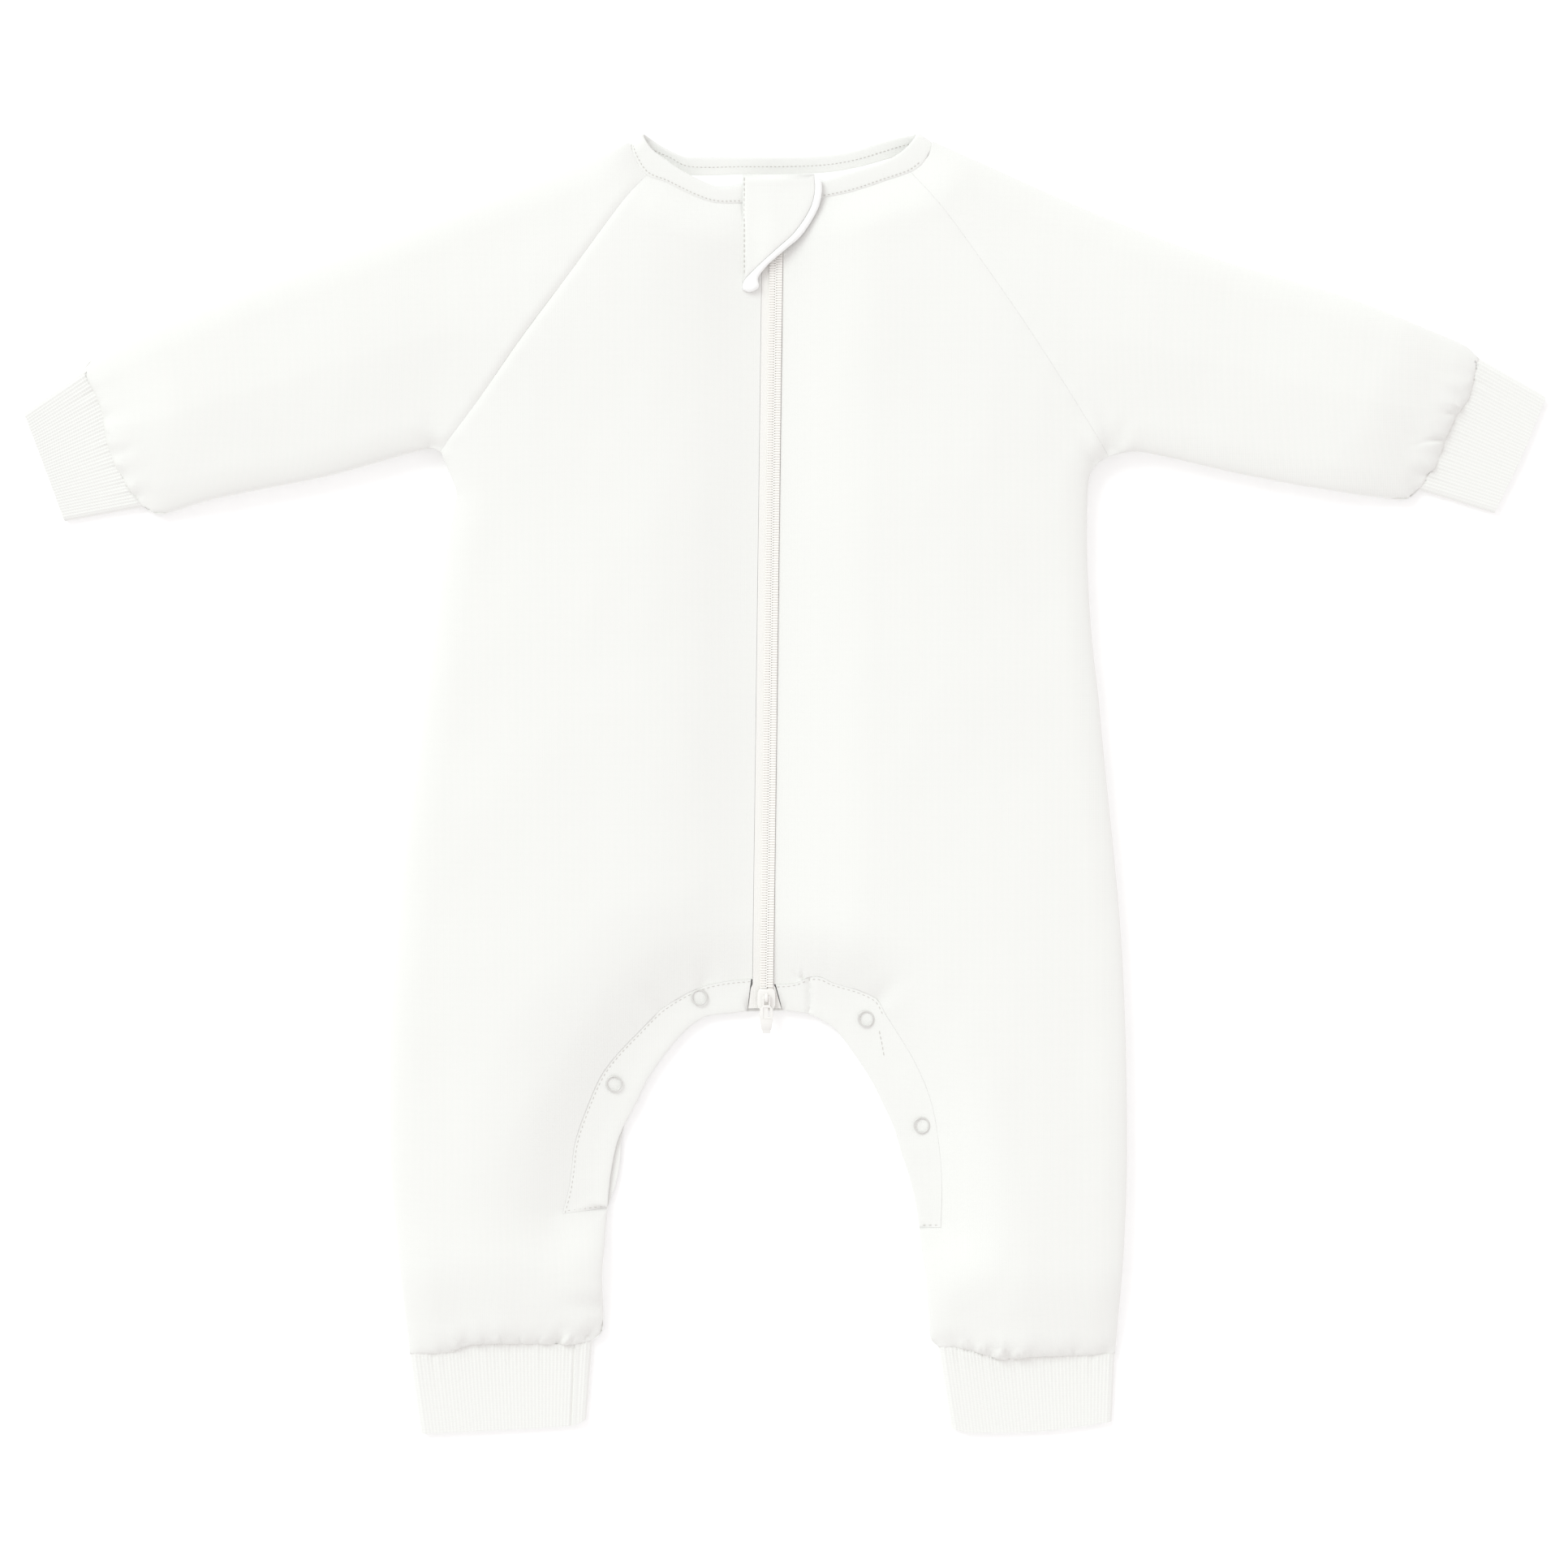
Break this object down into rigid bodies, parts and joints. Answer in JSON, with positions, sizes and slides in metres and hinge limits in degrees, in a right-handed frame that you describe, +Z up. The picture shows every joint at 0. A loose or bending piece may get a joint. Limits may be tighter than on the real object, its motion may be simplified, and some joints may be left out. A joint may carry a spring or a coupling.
{
  "type": "padded sleep suit without feet",
  "caption": "Padded baby sleep suit laid flat: raglan sleeves, rib cuffs at wrists and ankles, a zip with a chin guard, and snap bands along the crotch.",
  "frame": {"origin": "bottom centre of the laid-out garment's bounding box, on the surface it lies on", "axes": "+X to the viewer's right across the sleeves, +Y from the legs to the neck, +Z up out of the front"},
  "size_m": [0.7515, 0.6413, 0.0239],
  "materials": {
    "shell": "soft matte woven cotton over wadding, off-white",
    "binding": "soft matte knit, pure white",
    "rib": "fine rib knit, off-white",
    "tape": "woven tape, off-white",
    "coil": "satin nylon coil, off-white",
    "zip_metal": "off-white enamel",
    "snap": "off-white enamel on a prong ring"
  },
  "bodies": {
    "garment": {"back": "shell", "front_left": "shell", "front_right": "shell", "sleeve_left": "shell", "sleeve_right": "shell", "neckband": "shell", "chin_guard": "shell", "guard_binding": "binding", "snap_band_left": "shell", "snap_band_right": "shell", "wrist_cuff_left": "rib", "wrist_cuff_right": "rib", "ankle_cuff_left": "rib", "ankle_cuff_right": "rib", "zip_tape_left": "tape", "zip_tape_right": "tape", "zip_coil": "coil", "zip_slider": "zip_metal", "snap_left_upper": "snap", "snap_left_lower": "snap", "snap_right_upper": "snap", "snap_right_lower": "snap"},
    "pull": {"zip_pull": "zip_metal"}
  },
  "joints": [
    {"name": "pull_swing", "type": "hinge", "parent": "garment", "child": "pull", "pos_m": [-0.00948, -0.1049, 0.0107], "axis": [-1, 0, 0], "range_deg": [0, 165]}
  ]
}
